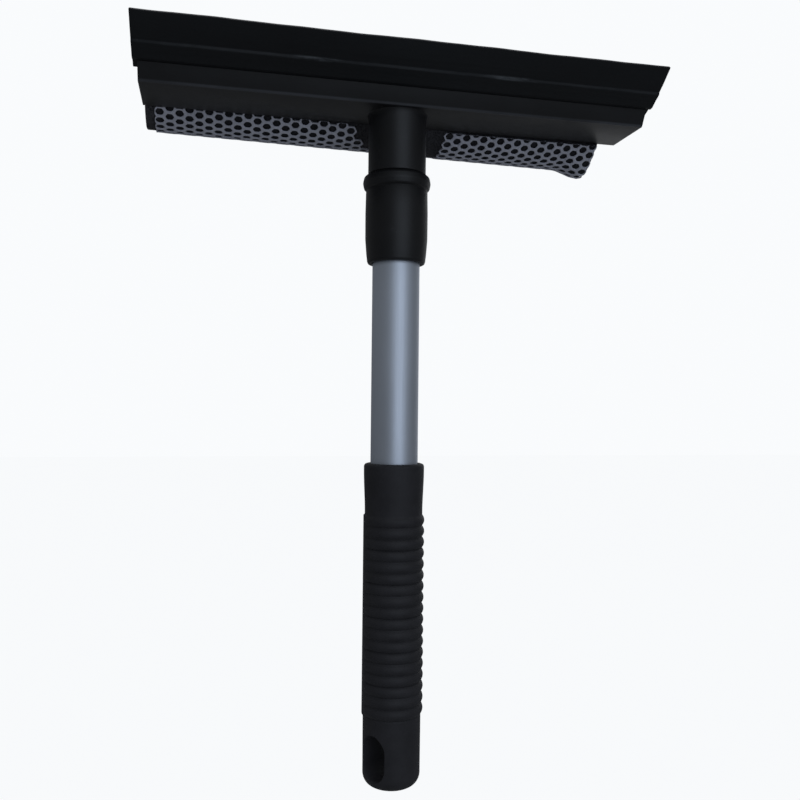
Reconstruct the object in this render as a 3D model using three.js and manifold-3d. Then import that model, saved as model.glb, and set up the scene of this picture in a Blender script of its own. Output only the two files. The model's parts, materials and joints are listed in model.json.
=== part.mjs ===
// A window cleaning squeegee: a T-shaped head with a rubber blade in front and a netted sponge behind,
// on a telescopic aluminium handle with an inner twist lock. Millimetres, +Z up along the handle.
// The origin is the middle of the grip's flat butt. The blade faces -Y and the sponge faces +Y.
import * as THREE from "three";
import { mergeVertices } from "three/addons/utils/BufferGeometryUtils.js";
import Module from "manifold-3d";

const wasm = await Module();
wasm.setup();

// ---- Driving dimensions ----
const GAP = 0.3; // left between pieces that touch on the real object
const RUNNING = 0.1; // radial clearance of a running fit
const PAST = 1; // how far a cutting tool reaches past what it cuts

// Grip: a soft sleeve with a closed butt, ribs all round but for one smooth spine, and a hang slot
const GRIP = {
  length: 147.9,
  buttRadius: 13.2,
  buttFaceRadius: 8.5,
  buttRound: 5.5,
  waistRadius: 13.35,
  topRadius: 13.95,
  topRound: 1.6,
  ribStart: 32.5,
  ribEnd: 124.3,
  ribCount: 18,
  ribRoot: 13.25,
  ribCrest: 14.3,
  spineInside: 12.2,
  spineTurn: -45,
  spineHalfAngle: 24,
};
const HANG_SLOT = { width: 13, height: 20, centre: 14 };
const HANDLE_TURN = -55; // degrees from straight ahead to the hang slot, about +Z

// Outer tube, the plug in its lower end, and the collar round its top
const OUTER_TUBE = { radius: 11, bore: 10, bottom: 31, top: 275 };
const END_PLUG = { length: 12, flange: 1.6, taper: 0.8 };
const COLLAR = {
  bottom: 240.6,
  bottomRadius: 13.4,
  flareTop: 252,
  radius: 14.5,
  straightTop: 264,
  neckRadius: 14.35,
  beadBottom: 274.6,
  beadRadius: 15.8,
  top: 281.3,
  shoulder: 279.6,
  mouth: 9.9,
};

// Inner tube, and the twist lock at its lower end
const INNER_TUBE = { radius: 9.5, bore: 8.6, bottom: 72, top: 303.4 };
const LOCK = {
  eccentricity: 0.8,
  plugTop: 92,
  journalRadius: 7.6,
  ringHeight: 5.1,
  flangeRadius: 9.4,
  flangeHeight: 3,
  spigotRadius: 4.5,
  spigotLength: 12.6,
  camRadius: 9.5,
  camChamfer: 0.8,
  washerRadius: 7,
  washerThickness: 1.2,
};
const LOCK_SCREW = { head: 3.4, headHeight: 2.2, shank: 1.6, length: 10 };

// Head: neck, flat underside, blade channel in front, and the wall that carries the sponge
const HEAD = { length: 231.6, offset: 0.7, bottom: 309.4, plate: 2.8, back: -12.9, ridge: 16.5, ridgeRound: 0.5 };
const NECK = { radius: 13.45, bottom: 281.6, chamfer: 0.5, flareRadius: 14.1, flareHeight: 2.5, back: 13.4 };
const HUB = { length: 34, height: 17 };
const NECK_SCREW = { z: 293, seat: 11.4, head: 3.1, headHeight: 1.8, shank: 1.5, length: 9 };
const NECK_PLUG = { bottom: 284, top: 302.4 };
const WALL = { tilt: 12, foot: -13.3, thickness: 2.4, height: 26.4, lip: 1.8 };
const BACKING = { thickness: 4, bottom: 4.1, top: 24.3 };
const BACKING_SCREW = { head: 2.7, headHeight: 1.6, shank: 1.2, length: 5.6, up: 14, places: [-92, -46, 46, 92] };

// Blade: its own axis leaves the middle of the channel's mouth, tilted up towards the front.
// Along that axis the channel runs back from the mouth to its pocket, which holds the blade's bead.
const BLADE = { length: 235.6, beadLength: 222, tilt: 25, mouth: [19.4, 9.9] };
const CHANNEL = { jaw: -0.6, web: 2.1, lip: 3.4, bead: 3.6, front: -5.2, pocket: -10.4, back: -12.4, cover: 1.8 };

// The netted sponge in side view, as three arcs: under, back and over
const PAD = { under: 23.9, underFrom: -44, back: 18, over: 70, middle: -30.3, lowest: -7.4, run: 21.6, askew: 0.95 };
const SPONGE = { length: 222, offset: -3.4 };
const NET = { length: 217.5, offset: -1.4, thickness: 0.6, from: -46, run: 19.5 };
const NET_NOTCH = { front: [-25.5, 29.5], back: [-6, 25], depth: 38 }; // its left and right sides

const ROUND = 40; // sides of a round piece
const SMALL_ROUND = 20; // sides of a screw or a hole for one

const rad = THREE.MathUtils.degToRad;

// ---- Materials ----
const material = (color, roughness, metalness) =>
  new THREE.MeshStandardMaterial({ color, roughness, metalness });
const GRIP_BLACK = material(0x161618, 0.62, 0);
const MOULDED_BLACK = material(0x121214, 0.5, 0);
const RUBBER_BLACK = material(0x0e0e10, 0.72, 0);
const FOAM_BLACK = material(0x1b1b1e, 0.95, 0);
const NET_GREY = material(0x74747e, 0.7, 0);
const ALUMINIUM = material(0x8c99ad, 0.35, 0.9);
const NYLON = material(0xd8d6cc, 0.55, 0);
const STEEL = material(0xa9abae, 0.35, 1);

// ---- Joining and cutting closed geometries ----
function solidOf(geometry) {
  const bare = geometry.clone();
  bare.deleteAttribute("normal");
  bare.deleteAttribute("uv");
  const merged = mergeVertices(bare, 1e-4);
  return new wasm.Manifold(
    new wasm.Mesh({
      numProp: 3,
      vertProperties: merged.attributes.position.array,
      triVerts: new Uint32Array(merged.index.array),
    }),
  );
}

function geometryOf(solid) {
  const mesh = solid.getMesh();
  const geometry = new THREE.BufferGeometry();
  geometry.setAttribute("position", new THREE.BufferAttribute(mesh.vertProperties, 3));
  geometry.setIndex(new THREE.BufferAttribute(mesh.triVerts, 1));
  geometry.computeVertexNormals();
  return geometry;
}

const join = (first, ...others) =>
  geometryOf(others.reduce((solid, other) => solid.add(solidOf(other)), solidOf(first)));

const cut = (first, ...tools) =>
  geometryOf(tools.reduce((solid, tool) => solid.subtract(solidOf(tool)), solidOf(first)));

const common = (first, second) => geometryOf(solidOf(first).intersect(solidOf(second)));

function piece(name, geometry, finish) {
  const mesh = new THREE.Mesh(geometry, finish);
  mesh.name = name;
  return mesh;
}

// ---- Turned and extruded shapes ----
// A turned solid about +Z, from [radius, height] points that start and end on the axis.
function turned(points, sides = ROUND) {
  const profile = points.map(([radius, height]) => new THREE.Vector2(radius, height));
  return new THREE.LatheGeometry(profile, sides).rotateX(Math.PI / 2);
}

// A turned ring about +Z, from [radius, height] points that go once round its section.
const ring = (points, sides) => turned([...points, points[0]], sides);

const disc = (radius, bottom, top, sides) =>
  turned([[0, bottom], [radius, bottom], [radius, top], [0, top]], sides);

const tube = (inner, outer, bottom, top) =>
  ring([[inner, bottom], [outer, bottom], [outer, top], [inner, top]]);

// A prism along X from a side-view outline, whose x is forward (-Y) and whose y is up (+Z).
const SIDE_VIEW = new THREE.Matrix4().makeBasis(
  new THREE.Vector3(0, -1, 0),
  new THREE.Vector3(0, 0, 1),
  new THREE.Vector3(-1, 0, 0),
);
function prism(shape, length, offset) {
  const geometry = new THREE.ExtrudeGeometry(shape, { depth: length, bevelEnabled: false, curveSegments: 12 });
  geometry.translate(0, 0, -length / 2).applyMatrix4(SIDE_VIEW);
  return geometry.translate(offset, 0, 0);
}

const outline = (points) => new THREE.Shape(points.map(([x, y]) => new THREE.Vector2(x, y)));

// A pan-head screw along +Z, with the underside of its head at z = 0.
function panScrew({ head, headHeight, shank, length }) {
  const driverSlot = new THREE.BoxGeometry(3 * head, 0.7, 1.2).translate(0, 0, -headHeight);
  const body = turned(
    [
      [0, -headHeight],
      [0.7 * head, -headHeight],
      [head, -0.35 * headHeight],
      [head, 0],
      [shank, 0],
      [shank, length - shank],
      [0, length],
    ],
    SMALL_ROUND,
  );
  return cut(body, driverSlot);
}

// ---- Handle: its group is turned about +Z, and the hang slot faces -Y in it ----
function gripProfile() {
  const points = [[0, 0], [GRIP.buttFaceRadius, 0]];
  const across = GRIP.buttRadius - GRIP.buttFaceRadius;
  for (const share of [0.33, 0.67, 1]) {
    const a = share * (Math.PI / 2);
    points.push([GRIP.buttFaceRadius + across * Math.sin(a), GRIP.buttRound * (1 - Math.cos(a))]);
  }
  points.push([GRIP.waistRadius, GRIP.ribStart]);
  const pitch = (GRIP.ribEnd - GRIP.ribStart) / GRIP.ribCount;
  for (let rib = 0; rib < GRIP.ribCount; rib++) {
    const z = GRIP.ribStart + rib * pitch;
    points.push([GRIP.ribRoot, z + 0.12 * pitch]);
    points.push([GRIP.ribCrest, z + 0.4 * pitch]);
    points.push([GRIP.ribCrest, z + 0.72 * pitch]);
  }
  points.push([GRIP.waistRadius, GRIP.ribEnd]);
  points.push([GRIP.topRadius, GRIP.length - GRIP.topRound]);
  points.push([GRIP.topRadius - GRIP.topRound, GRIP.length]);
  points.push([0, GRIP.length]);
  return points;
}

function spine() {
  const half = rad(GRIP.spineHalfAngle);
  const shape = new THREE.Shape();
  shape.absarc(0, 0, GRIP.ribCrest, -half, half, false);
  shape.absarc(0, 0, GRIP.spineInside, half, -half, true);
  const depth = GRIP.ribEnd - GRIP.ribStart;
  const geometry = new THREE.ExtrudeGeometry(shape, { depth, bevelEnabled: false, curveSegments: 6 });
  return geometry.rotateZ(rad(GRIP.spineTurn - 90)).translate(0, 0, GRIP.ribStart);
}

// An upright slot with round ends, right through the butt.
function hangSlot() {
  const r = HANG_SLOT.width / 2;
  const straight = HANG_SLOT.height / 2 - r;
  const shape = new THREE.Shape();
  shape.absarc(0, straight, r, 0, Math.PI, false);
  shape.absarc(0, -straight, r, Math.PI, 2 * Math.PI, false);
  const depth = 3 * GRIP.ribCrest;
  const geometry = new THREE.ExtrudeGeometry(shape, { depth, bevelEnabled: false, curveSegments: 8 });
  return geometry.translate(0, 0, -depth / 2).rotateX(Math.PI / 2).translate(0, 0, HANG_SLOT.centre);
}

const plugBottom = OUTER_TUBE.bottom - GAP - END_PLUG.flange;

function grip() {
  const socket = disc(OUTER_TUBE.radius + GAP, plugBottom - GAP, GRIP.length + PAST);
  return cut(join(turned(gripProfile(), 28), spine()), socket, hangSlot());
}

const outerTube = () => tube(OUTER_TUBE.bore, OUTER_TUBE.radius, OUTER_TUBE.bottom, OUTER_TUBE.top);

// The plug closes the tube's lower end, so that the tube's edge doesn't cut into the grip.
function tubeEndPlug() {
  const inside = OUTER_TUBE.bore - GAP;
  return turned([
    [0, plugBottom],
    [OUTER_TUBE.radius, plugBottom],
    [OUTER_TUBE.radius, plugBottom + END_PLUG.flange],
    [inside, plugBottom + END_PLUG.flange],
    [inside - END_PLUG.taper, plugBottom + END_PLUG.length],
    [0, plugBottom + END_PLUG.length],
  ]);
}

function collar() {
  const bore = OUTER_TUBE.radius + GAP;
  const beadMiddle = (COLLAR.beadBottom + COLLAR.top) / 2;
  const beadShoulder = COLLAR.beadRadius - 0.5;
  return ring([
    [bore, COLLAR.bottom],
    [COLLAR.bottomRadius - 0.8, COLLAR.bottom],
    [COLLAR.bottomRadius, COLLAR.bottom + 1],
    [COLLAR.bottomRadius + 0.5, COLLAR.bottom + 5],
    [COLLAR.radius, COLLAR.flareTop],
    [COLLAR.radius, COLLAR.straightTop],
    [COLLAR.neckRadius, COLLAR.beadBottom - 0.6],
    [COLLAR.neckRadius - 0.35, COLLAR.beadBottom],
    [beadShoulder, COLLAR.beadBottom + 1.2],
    [COLLAR.beadRadius, beadMiddle],
    [beadShoulder, COLLAR.top - 1.2],
    [COLLAR.neckRadius, COLLAR.top],
    [COLLAR.mouth, COLLAR.top],
    [COLLAR.mouth, COLLAR.shoulder],
    [bore, COLLAR.shoulder],
  ]);
}

// The bush centres the inner tube. It is held between the outer tube's end and the collar's shoulder.
const guideBush = () =>
  tube(INNER_TUBE.radius + RUNNING, OUTER_TUBE.radius, OUTER_TUBE.top + GAP, COLLAR.shoulder - GAP);

function handle() {
  const group = new THREE.Group();
  group.rotation.z = rad(HANDLE_TURN);
  group.add(
    piece("grip", grip(), GRIP_BLACK),
    piece("outer_tube", outerTube(), ALUMINIUM),
    piece("tube_end_plug", tubeEndPlug(), NYLON),
    piece("collar", collar(), MOULDED_BLACK),
    piece("guide_bush", guideBush(), NYLON),
  );
  return group;
}

// ---- Twist lock, at the lower end of the inner tube ----
const glideTop = INNER_TUBE.bottom - GAP;
const glideBottom = glideTop - LOCK.ringHeight;
const flangeBottom = glideBottom - GAP - LOCK.flangeHeight;
const spigotBottom = flangeBottom - LOCK.spigotLength;
const washerBottom = spigotBottom - GAP - LOCK.washerThickness;

// The plug is pressed into the tube. It carries the glide ring's journal and the off-centre spigot.
function lockPlug() {
  const body = turned([
    [0, flangeBottom],
    [LOCK.flangeRadius, flangeBottom],
    [LOCK.flangeRadius, glideBottom - GAP],
    [LOCK.journalRadius, glideBottom - GAP],
    [LOCK.journalRadius, glideTop + GAP],
    [INNER_TUBE.bore - GAP, glideTop + GAP],
    [INNER_TUBE.bore - GAP, LOCK.plugTop],
    [0, LOCK.plugTop],
  ]);
  const spigot = disc(LOCK.spigotRadius, spigotBottom, flangeBottom + PAST, 28);
  const pilot = disc(LOCK_SCREW.shank + GAP, spigotBottom - PAST, spigotBottom + LOCK_SCREW.length, SMALL_ROUND);
  spigot.translate(LOCK.eccentricity, 0, 0);
  pilot.translate(LOCK.eccentricity, 0, 0);
  return cut(join(body, spigot), pilot);
}

// The glide ring slides along the outer tube with the inner tube, which turns inside it.
const glideRing = () => tube(LOCK.journalRadius + RUNNING, OUTER_TUBE.bore - RUNNING, glideBottom, glideTop);

// The cam's hole is as far off its middle as the spigot is, so turning the tube drives it sideways.
function lockCam() {
  const top = flangeBottom - GAP;
  const bottom = spigotBottom + GAP;
  const blank = turned([
    [0, bottom],
    [LOCK.camRadius - LOCK.camChamfer, bottom],
    [LOCK.camRadius, bottom + LOCK.camChamfer],
    [LOCK.camRadius, top - LOCK.camChamfer],
    [LOCK.camRadius - LOCK.camChamfer, top],
    [0, top],
  ]);
  const hole = disc(LOCK.spigotRadius + RUNNING, bottom - PAST, top + PAST, 28);
  return cut(blank, hole.translate(LOCK.eccentricity, 0, 0));
}

function camWasher() {
  const washer = tube(LOCK_SCREW.shank + GAP, LOCK.washerRadius, washerBottom, spigotBottom - GAP);
  return washer.translate(LOCK.eccentricity, 0, 0);
}

function camScrew() {
  const screw = piece("cam_screw", panScrew(LOCK_SCREW), STEEL);
  screw.position.set(LOCK.eccentricity, 0, washerBottom - GAP);
  return screw;
}

// A hole along Y at the neck screw's height, from y = inner to y = outer.
function neckScrewHole(radius, inner, outer) {
  const hole = disc(radius, -outer, -inner, SMALL_ROUND);
  return hole.rotateX(Math.PI / 2).translate(0, 0, NECK_SCREW.z);
}

const neckHoleRadius = NECK_SCREW.shank + GAP;

function innerTube() {
  const whole = tube(INNER_TUBE.bore, INNER_TUBE.radius, INNER_TUBE.bottom, INNER_TUBE.top);
  return cut(whole, neckScrewHole(neckHoleRadius, INNER_TUBE.bore - PAST, INNER_TUBE.radius + PAST));
}

// The plug stiffens the tube's upper end, and the neck screw bites into it.
function neckPlug() {
  const whole = disc(INNER_TUBE.bore - GAP, NECK_PLUG.bottom, NECK_PLUG.top);
  const bottomOfHole = NECK_SCREW.seat - NECK_SCREW.length - GAP;
  return cut(whole, neckScrewHole(neckHoleRadius, bottomOfHole, INNER_TUBE.bore + PAST));
}

function neckScrew() {
  const screw = piece("neck_screw", panScrew(NECK_SCREW), STEEL);
  screw.rotation.x = Math.PI / 2;
  screw.position.set(0, NECK_SCREW.seat, NECK_SCREW.z);
  return screw;
}

// ---- Head ----
// Side-view point from the blade's own frame: s runs out of the channel's mouth and t is square to it, upwards.
function fromMouth([s, t]) {
  const a = rad(BLADE.tilt);
  const [forward, up] = BLADE.mouth;
  return [forward + s * Math.cos(a) - t * Math.sin(a), HEAD.bottom + up + s * Math.sin(a) + t * Math.cos(a)];
}

// Side-view point from the wall's own frame: n is how far it is in front of the backing's rear face, e is up the wall.
function fromWall([n, e]) {
  const a = rad(WALL.tilt);
  return [WALL.foot + n * Math.cos(a) + e * Math.sin(a), HEAD.bottom - n * Math.sin(a) + e * Math.cos(a)];
}

const plateTop = HEAD.bottom + HEAD.plate;
const wallBack = BACKING.thickness + GAP;
const wallFront = wallBack + WALL.thickness;

// Where the plane at distance n in front of the backing's rear face meets the plate.
function wallOnPlate(n) {
  const a = rad(WALL.tilt);
  return [WALL.foot + n / Math.cos(a) + HEAD.plate * Math.tan(a), plateTop];
}

function headSection() {
  const { jaw, web, lip, bead, front, pocket, back, cover } = CHANNEL;
  return outline([
    [HEAD.back, HEAD.bottom],
    [HEAD.ridge - HEAD.ridgeRound, HEAD.bottom],
    [HEAD.ridge, HEAD.bottom + HEAD.ridgeRound],
    fromMouth([jaw - 0.7, -lip]),
    fromMouth([jaw, 0.5 - lip]),
    fromMouth([jaw, -web]),
    fromMouth([front, -web]),
    fromMouth([front, -bead]),
    fromMouth([pocket, -bead]),
    fromMouth([pocket, bead]),
    fromMouth([front, bead]),
    fromMouth([front, web]),
    fromMouth([jaw, web]),
    fromMouth([jaw, lip - 0.5]),
    fromMouth([jaw - 0.7, lip]),
    fromMouth([front, bead + cover]),
    fromMouth([back + 0.8, bead + cover]),
    fromMouth([back, bead + cover - 0.8]),
    fromMouth([back, -2]),
    wallOnPlate(wallFront),
    fromWall([wallFront, WALL.height - 0.5]),
    fromWall([wallFront - 0.5, WALL.height]),
    fromWall([0.7, WALL.height]),
    fromWall([0.2, WALL.height - 0.5]),
    fromWall([0.2, WALL.height - WALL.lip]),
    fromWall([wallBack, WALL.height - WALL.lip]),
    wallOnPlate(wallBack),
    [HEAD.back, plateTop],
  ]);
}

// The hub fills the middle of the trough between the channel and the wall, above the neck.
function hubSection() {
  const corner = fromMouth([CHANNEL.back + PAST, -2.5]);
  return outline([
    fromWall([wallFront - PAST, 3]),
    [corner[0], plateTop - PAST],
    corner,
    fromMouth([CHANNEL.back + PAST, 4]),
    fromWall([wallFront + 3, HUB.height]),
    fromWall([wallFront - PAST, HUB.height]),
  ]);
}

// The neck flares a little where it meets the plate, and is flat behind, where the sponge comes down past it.
function neckPost() {
  const post = turned(
    [
      [0, NECK.bottom],
      [NECK.radius - NECK.chamfer, NECK.bottom],
      [NECK.radius, NECK.bottom + NECK.chamfer],
      [NECK.radius, HEAD.bottom - NECK.flareHeight],
      [NECK.radius + 0.2, HEAD.bottom - 0.4 * NECK.flareHeight],
      [NECK.flareRadius, HEAD.bottom],
      [NECK.radius - 1, HEAD.bottom + PAST],
      [0, HEAD.bottom + PAST],
    ],
    48,
  );
  const size = 4 * NECK.radius;
  const keep = new THREE.BoxGeometry(size, size, size).translate(0, NECK.back - size / 2, HEAD.bottom - size / 3);
  return common(post, keep);
}

// Every piece on the wall is placed on its slope: z points from the trough into the sponge.
function onWall(object, x) {
  const [forward, up] = fromWall([wallFront + GAP, BACKING_SCREW.up]);
  object.rotation.x = rad(WALL.tilt - 90);
  object.position.set(x, -forward, up);
  object.updateMatrix();
  return object;
}

function backingScrewHole(x, reach) {
  const hole = disc(BACKING_SCREW.shank + GAP, -PAST, reach, SMALL_ROUND);
  return hole.applyMatrix4(onWall(new THREE.Object3D(), x).matrix);
}

function headBody() {
  const socket = disc(INNER_TUBE.radius + GAP, NECK.bottom - PAST, INNER_TUBE.top + GAP);
  const hub = prism(hubSection(), HUB.length, 0);
  const whole = join(prism(headSection(), HEAD.length, HEAD.offset), hub, neckPost());
  const wallHoles = BACKING_SCREW.places.map((x) => backingScrewHole(x, WALL.thickness + 3 * GAP));
  const throughNeck = neckScrewHole(neckHoleRadius, INNER_TUBE.radius, NECK.radius + PAST);
  const counterbore = neckScrewHole(NECK_SCREW.head + GAP, NECK_SCREW.seat - GAP, NECK.radius + PAST);
  return cut(whole, socket, throughNeck, counterbore, ...wallHoles);
}

// The bead fills the pocket, and the web leads from it to the mouth.
const beadSection = () =>
  outline(
    [
      [CHANNEL.pocket + GAP, GAP - CHANNEL.bead],
      [CHANNEL.front - GAP, GAP - CHANNEL.bead],
      [CHANNEL.front - GAP, CHANNEL.bead - GAP],
      [CHANNEL.pocket + GAP, CHANNEL.bead - GAP],
    ].map(fromMouth),
  );

function blade() {
  const web = CHANNEL.web - GAP;
  const seat = CHANNEL.jaw + GAP;
  const bulbAndLip = outline(
    [
      [CHANNEL.front, -web],
      [seat, -web],
      [seat, -3.1],
      [1.6, -3.7],
      [5, -3.1],
      [8.8, -2.8],
      [9.6, -1.9],
      [13.5, -1.2],
      [21.6, 0.9],
      [21.1, 2.2],
      [13.5, 1.3],
      [9.6, 1.5],
      [7.4, 2.9],
      [1.2, 3.5],
      [seat, 3.1],
      [seat, web],
      [CHANNEL.front, web],
    ].map(fromMouth),
  );
  const link = outline(
    [
      [CHANNEL.front - 2 * GAP, -web],
      [CHANNEL.front + GAP, -web],
      [CHANNEL.front + GAP, web],
      [CHANNEL.front - 2 * GAP, web],
    ].map(fromMouth),
  );
  return join(
    prism(bulbAndLip, BLADE.length, HEAD.offset),
    prism(link, BLADE.beadLength, HEAD.offset),
    prism(beadSection(), BLADE.beadLength, HEAD.offset),
  );
}

// A stop closes each end of the pocket and keeps the blade from sliding out.
function bladeStop(side) {
  const length = (HEAD.length - BLADE.beadLength) / 2 - GAP;
  return prism(beadSection(), length, HEAD.offset + side * (HEAD.length - length) / 2);
}

function spongeBacking() {
  const section = outline(
    [
      [0, BACKING.bottom],
      [BACKING.thickness, BACKING.bottom],
      [BACKING.thickness, BACKING.top],
      [0, BACKING.top],
    ].map(fromWall),
  );
  const pilots = BACKING_SCREW.places.map((x) => backingScrewHole(x, BACKING_SCREW.length + GAP));
  return cut(prism(section, SPONGE.length, SPONGE.offset), ...pilots);
}

// The centres of the three arcs, which share one upright line.
const padLow = HEAD.bottom + PAD.lowest;
const padCentre = { under: padLow + PAD.under, back: padLow + PAD.back, over: padLow + 2 * PAD.back - PAD.over };

// Runs a path round the pad, as far inside its outline as inset, from under the head to over it.
function roundPad(path, inset, from, run, backwards) {
  const top = Math.acos(run / PAD.over);
  const arcs = [
    [padCentre.under, PAD.under - inset, rad(from), -Math.PI / 2],
    [padCentre.back, PAD.back - inset, -Math.PI / 2, -1.5 * Math.PI],
    [padCentre.over, PAD.over - inset, Math.PI / 2, top],
  ];
  if (backwards) {
    arcs.reverse().forEach(([z, radius, a, b]) => path.absarc(PAD.middle, z, radius, b, a, false));
  } else {
    arcs.forEach(([z, radius, a, b]) => path.absarc(PAD.middle, z, radius, a, b, true));
  }
}

// The sponge and its net sit a little askew on the backing: they are turned about the wall's own normal.
function onBacking(geometry) {
  const tilt = rad(WALL.tilt);
  const normal = new THREE.Vector3(0, Math.cos(tilt), Math.sin(tilt));
  geometry.translate(0, 0, -HEAD.bottom);
  geometry.applyMatrix4(new THREE.Matrix4().makeRotationAxis(normal, rad(PAD.askew)));
  return geometry.translate(0, 0, HEAD.bottom);
}

function sponge() {
  const shape = new THREE.Shape();
  roundPad(shape, NET.thickness + GAP, PAD.underFrom, PAD.run, false);
  shape.lineTo(...fromWall([-GAP, BACKING.top - 0.6]));
  shape.lineTo(...fromWall([-GAP, 0.4]));
  return onBacking(prism(shape, SPONGE.length, SPONGE.offset));
}

// One sheet of net wraps the sponge, with a notch below for the neck.
function net() {
  const shape = new THREE.Shape();
  roundPad(shape, 0, NET.from, NET.run, false);
  roundPad(shape, NET.thickness, NET.from, NET.run, true);
  const notch = outline([
    [NET_NOTCH.front[0], 0],
    [NET_NOTCH.front[1], 0],
    [NET_NOTCH.back[1], NET_NOTCH.depth],
    [NET_NOTCH.back[0], NET_NOTCH.depth],
  ]);
  const depth = padCentre.back - padLow;
  const tool = new THREE.ExtrudeGeometry(notch, { depth, bevelEnabled: false });
  return onBacking(cut(prism(shape, NET.length, NET.offset), tool.translate(0, 0, padLow - PAST)));
}

function backingScrews() {
  return BACKING_SCREW.places.map((x, i) => {
    const screw = piece("backing_screw_" + (i + 1), panScrew(BACKING_SCREW), STEEL);
    return onWall(screw, x);
  });
}

// ---- The whole squeegee ----
function head() {
  const group = new THREE.Group();
  group.add(
    piece("inner_tube", innerTube(), ALUMINIUM),
    piece("lock_plug", lockPlug(), NYLON),
    piece("cam_washer", camWasher(), STEEL),
    camScrew(),
    piece("neck_plug", neckPlug(), NYLON),
    neckScrew(),
    piece("head_body", headBody(), MOULDED_BLACK),
    piece("blade", blade(), RUBBER_BLACK),
    piece("blade_stop_left", bladeStop(-1), MOULDED_BLACK),
    piece("blade_stop_right", bladeStop(1), MOULDED_BLACK),
    piece("sponge_backing", spongeBacking(), MOULDED_BLACK),
    piece("sponge", sponge(), FOAM_BLACK),
    piece("net", net(), NET_GREY),
    ...backingScrews(),
  );
  return group;
}

const squeegee = new THREE.Group();
squeegee.add(
  handle(),
  head(),
  piece("glide_ring", glideRing(), NYLON),
  piece("lock_cam", lockCam(), NYLON),
);
export default squeegee;
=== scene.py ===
"""The look of the window squeegee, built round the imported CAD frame.

Metres, +Z up the handle, +X along the head, the blade towards -Y and the sponge towards +Y.
Section sizes below are in millimetres and are turned into metres where a mesh is made.
"""
import json
import math
import bmesh
import bpy
import numpy as np
from mathutils import Matrix, Vector, noise


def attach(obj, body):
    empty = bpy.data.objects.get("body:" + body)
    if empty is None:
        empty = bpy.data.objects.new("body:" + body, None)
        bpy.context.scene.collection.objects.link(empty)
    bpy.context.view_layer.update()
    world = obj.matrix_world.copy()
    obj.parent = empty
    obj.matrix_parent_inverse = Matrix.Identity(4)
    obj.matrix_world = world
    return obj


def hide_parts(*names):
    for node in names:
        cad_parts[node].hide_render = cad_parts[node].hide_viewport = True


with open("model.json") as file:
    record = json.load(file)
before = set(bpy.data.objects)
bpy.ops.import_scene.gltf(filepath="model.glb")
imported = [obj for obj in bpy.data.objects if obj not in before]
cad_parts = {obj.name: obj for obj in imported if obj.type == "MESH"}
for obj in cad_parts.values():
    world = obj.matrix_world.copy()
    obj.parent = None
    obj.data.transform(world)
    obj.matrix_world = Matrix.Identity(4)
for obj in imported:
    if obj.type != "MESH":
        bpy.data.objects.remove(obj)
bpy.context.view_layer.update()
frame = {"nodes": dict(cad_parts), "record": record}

MM = 0.001


# ---- Camera, floor and light ----
CAMERA_PLACE = (-0.0844, -0.3824, 0.1737)
CAMERA_TURN, CAMERA_TILT, CAMERA_ROLL = -12.81, 90.53, 0.58  # degrees
CAMERA_LENS = 37.81  # mm, on a 36 mm sensor


def make_camera():
    data = bpy.data.cameras.new("camera")
    data.sensor_width = 36
    data.lens = CAMERA_LENS
    data.clip_start = 0.01
    camera = bpy.data.objects.new("camera", data)
    bpy.context.scene.collection.objects.link(camera)
    turn = Matrix.Rotation(math.radians(CAMERA_TURN), 4, "Z")
    tilt = Matrix.Rotation(math.radians(CAMERA_TILT), 4, "X")
    roll = Matrix.Rotation(math.radians(CAMERA_ROLL), 4, "Z")
    camera.matrix_world = Matrix.Translation(CAMERA_PLACE) @ turn @ tilt @ roll
    bpy.context.scene.camera = camera


def make_light(name, place, target, size, power, colour):
    """A rectangular soft light at place, turned to target. size is its width and height, in metres."""
    data = bpy.data.lights.new(name, "AREA")
    data.shape = "RECTANGLE"
    data.size, data.size_y = size
    data.energy = power
    data.color = colour
    light = bpy.data.objects.new(name, data)
    bpy.context.scene.collection.objects.link(light)
    light.location = place
    light.rotation_euler = (Vector(target) - Vector(place)).to_track_quat("-Z", "Y").to_euler()


BACKDROP = (0.97, 0.985, 1.0, 1)
BACKDROP_LEVEL = 0.98
ROOM_LEVEL = 0.2
FLOOR_SHARE = 0.985  # how much of the floor's look is the backdrop's own white
FLOOR_LEVEL = -0.2  # the handle slides down to -0.16 when it is drawn out


def make_floor():
    """A pale floor under the squeegee, which hangs by its head. It is nearly as white as the backdrop."""
    bm = bmesh.new()
    bmesh.ops.create_grid(bm, x_segments=8, y_segments=8, size=6)
    mesh = bpy.data.meshes.new("floor")
    bm.to_mesh(mesh)
    bm.free()
    floor = bpy.data.objects.new("floor", mesh)
    floor.location.z = FLOOR_LEVEL
    bpy.context.scene.collection.objects.link(floor)
    graph = Graph("floor_white", roughness=0.9, specular=0.1)
    speckle = graph.noise(30, 3)
    graph.set("Base Color", graph.ramp(speckle, [(0.3, (0.34, 0.345, 0.35)), (0.7, (0.38, 0.385, 0.39))]))
    lit = graph.add("Emission", {"Color": BACKDROP, "Strength": BACKDROP_LEVEL})
    seen = graph.math("MULTIPLY", graph.add("LightPath").outputs["Is Camera Ray"], FLOOR_SHARE)
    both = graph.add("MixShader", {0: seen, 1: graph.shader.outputs[0], 2: lit.outputs[0]})
    graph.links.new(both.outputs[0], graph.nodes["Material Output"].inputs["Surface"])
    mesh.materials.append(graph.material)


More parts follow.
